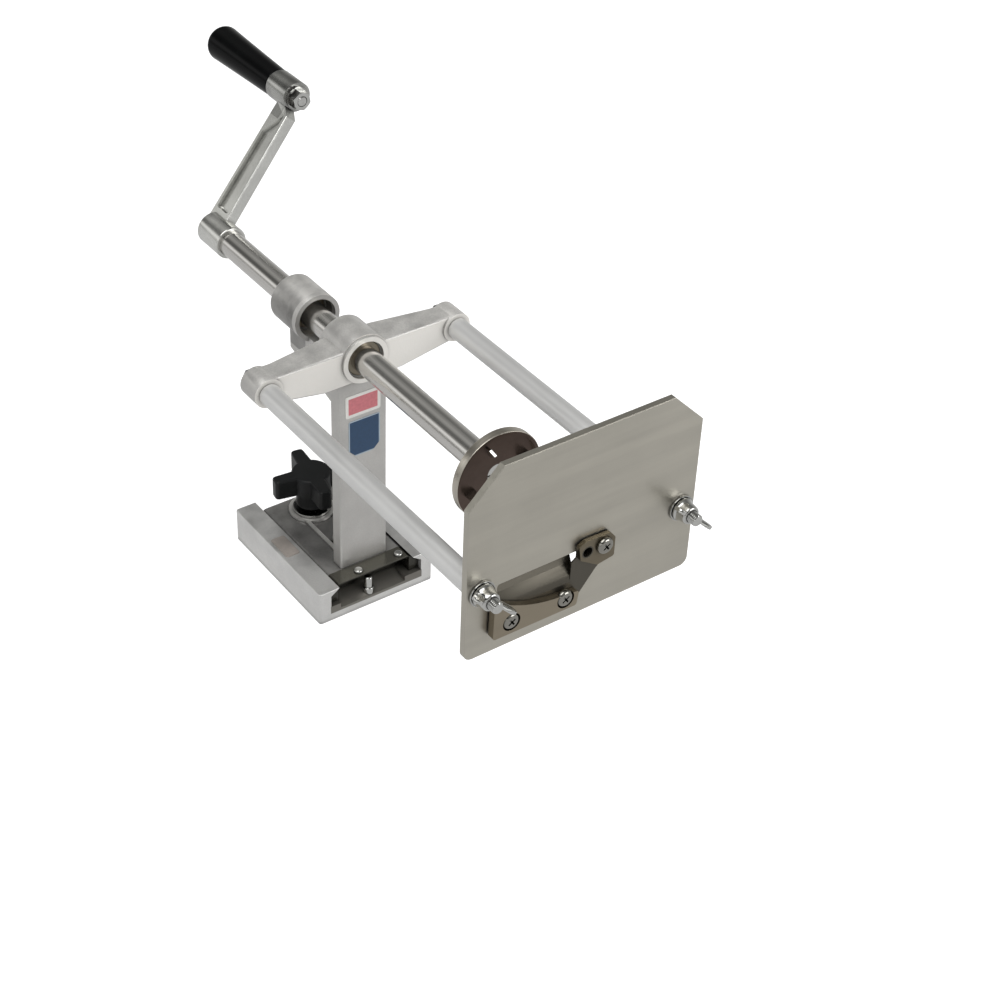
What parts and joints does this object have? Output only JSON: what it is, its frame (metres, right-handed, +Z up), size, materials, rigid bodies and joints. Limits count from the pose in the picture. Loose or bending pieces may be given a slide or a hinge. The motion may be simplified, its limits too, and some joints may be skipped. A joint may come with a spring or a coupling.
{
  "type": "hand-cranked spiral potato cutter",
  "caption": "Cast frame on a dovetailed table base carries a sliding cranked shaft whose toothed pusher turns a potato against a bladed plate held by side rods.",
  "frame": {"origin": "centre of the base's underside, on the table", "axes": "+Z up; -Y is the front, with the blade plate; +Y is the rear, with the crank; +X is to the right seen from the front"},
  "size_m": [0.1777, 0.5702, 0.2986],
  "materials": {
    "base_metal": "plain grey casting, satin",
    "frame_metal": "plain grey casting, machined front faces",
    "bush_metal": "turned",
    "shaft_steel": "ground and polished",
    "disc_steel": "dull turned steel",
    "tine_steel": "bright",
    "bright_steel": "bright plated",
    "crank_metal": "satin",
    "dark_steel": "dull",
    "black_plastic": "gloss black",
    "knob_plastic": "semi-gloss black",
    "rod_metal": "smooth satin",
    "plate_metal": "satin",
    "blade_steel": "bright sharp strip",
    "upper_label_face": "plain sheet",
    "lower_label_face": "plain sheet",
    "pad_plastic": "plain"
  },
  "bodies": {
    "base": {"base_casting": "base_metal", "frame_casting": "frame_metal", "left_rod": "rod_metal", "right_rod": "rod_metal", "rod_bolts": "dark_steel", "plate_studs": "bright_steel", "plate_washers": "bright_steel", "blade_plate": "plate_metal", "cutting_blade": "blade_steel", "blade_clamp_bar": "plate_metal", "blade_bracket": "plate_metal", "coring_tube": "blade_steel", "blade_screws": "bright_steel", "clamp_pad": "dark_steel", "clamp_washer": "bright_steel", "front_stop_pin": "bright_steel", "toe_screws": "bright_steel", "upper_label": "upper_label_face", "lower_label": "lower_label_face", "rail_pad": "pad_plastic"},
    "bushes": {"front_bush": "bush_metal", "rear_bush": "bush_metal"},
    "shaft": {"drive_shaft": "shaft_steel", "pusher_disc": "disc_steel", "pusher_tines": "tine_steel", "pusher_screw": "bright_steel", "crank_arm": "crank_metal", "crank_set_screw": "dark_steel", "handle_spindle": "bright_steel", "spindle_nut": "bright_steel", "spindle_washer": "bright_steel"},
    "grip": {"hand_grip": "black_plastic"},
    "left_wing_nut": {"left_wing_nut": "bright_steel"},
    "right_wing_nut": {"right_wing_nut": "bright_steel"},
    "knob": {"clamp_knob": "knob_plastic", "clamp_stud": "bright_steel"}
  },
  "joints": [
    {"name": "crank_spin", "type": "hinge", "parent": "base", "child": "bushes", "pos_m": [0, 0, 0.2], "axis": [0, 1, 0], "continuous": true},
    {"name": "shaft_feed", "type": "slide", "parent": "bushes", "child": "shaft", "axis": [0, -1, 0], "range_m": [-0.128, 0.064]},
    {"name": "grip_spin", "type": "hinge", "parent": "shaft", "child": "grip", "pos_m": [0.07274, 0.23, 0.28517], "axis": [0, 1, 0], "continuous": true},
    {"name": "left_nut_turn", "type": "hinge", "parent": "base", "child": "left_wing_nut", "pos_m": [-0.0737, -0.29, 0.2], "axis": [0, -1, 0], "continuous": true},
    {"name": "right_nut_turn", "type": "hinge", "parent": "base", "child": "right_wing_nut", "pos_m": [0.0737, -0.29, 0.2], "axis": [0, -1, 0], "continuous": true},
    {"name": "knob_turn", "type": "hinge", "parent": "base", "child": "knob", "pos_m": [0, 0.029, 0.05], "axis": [0, 0, 1], "continuous": true}
  ]
}
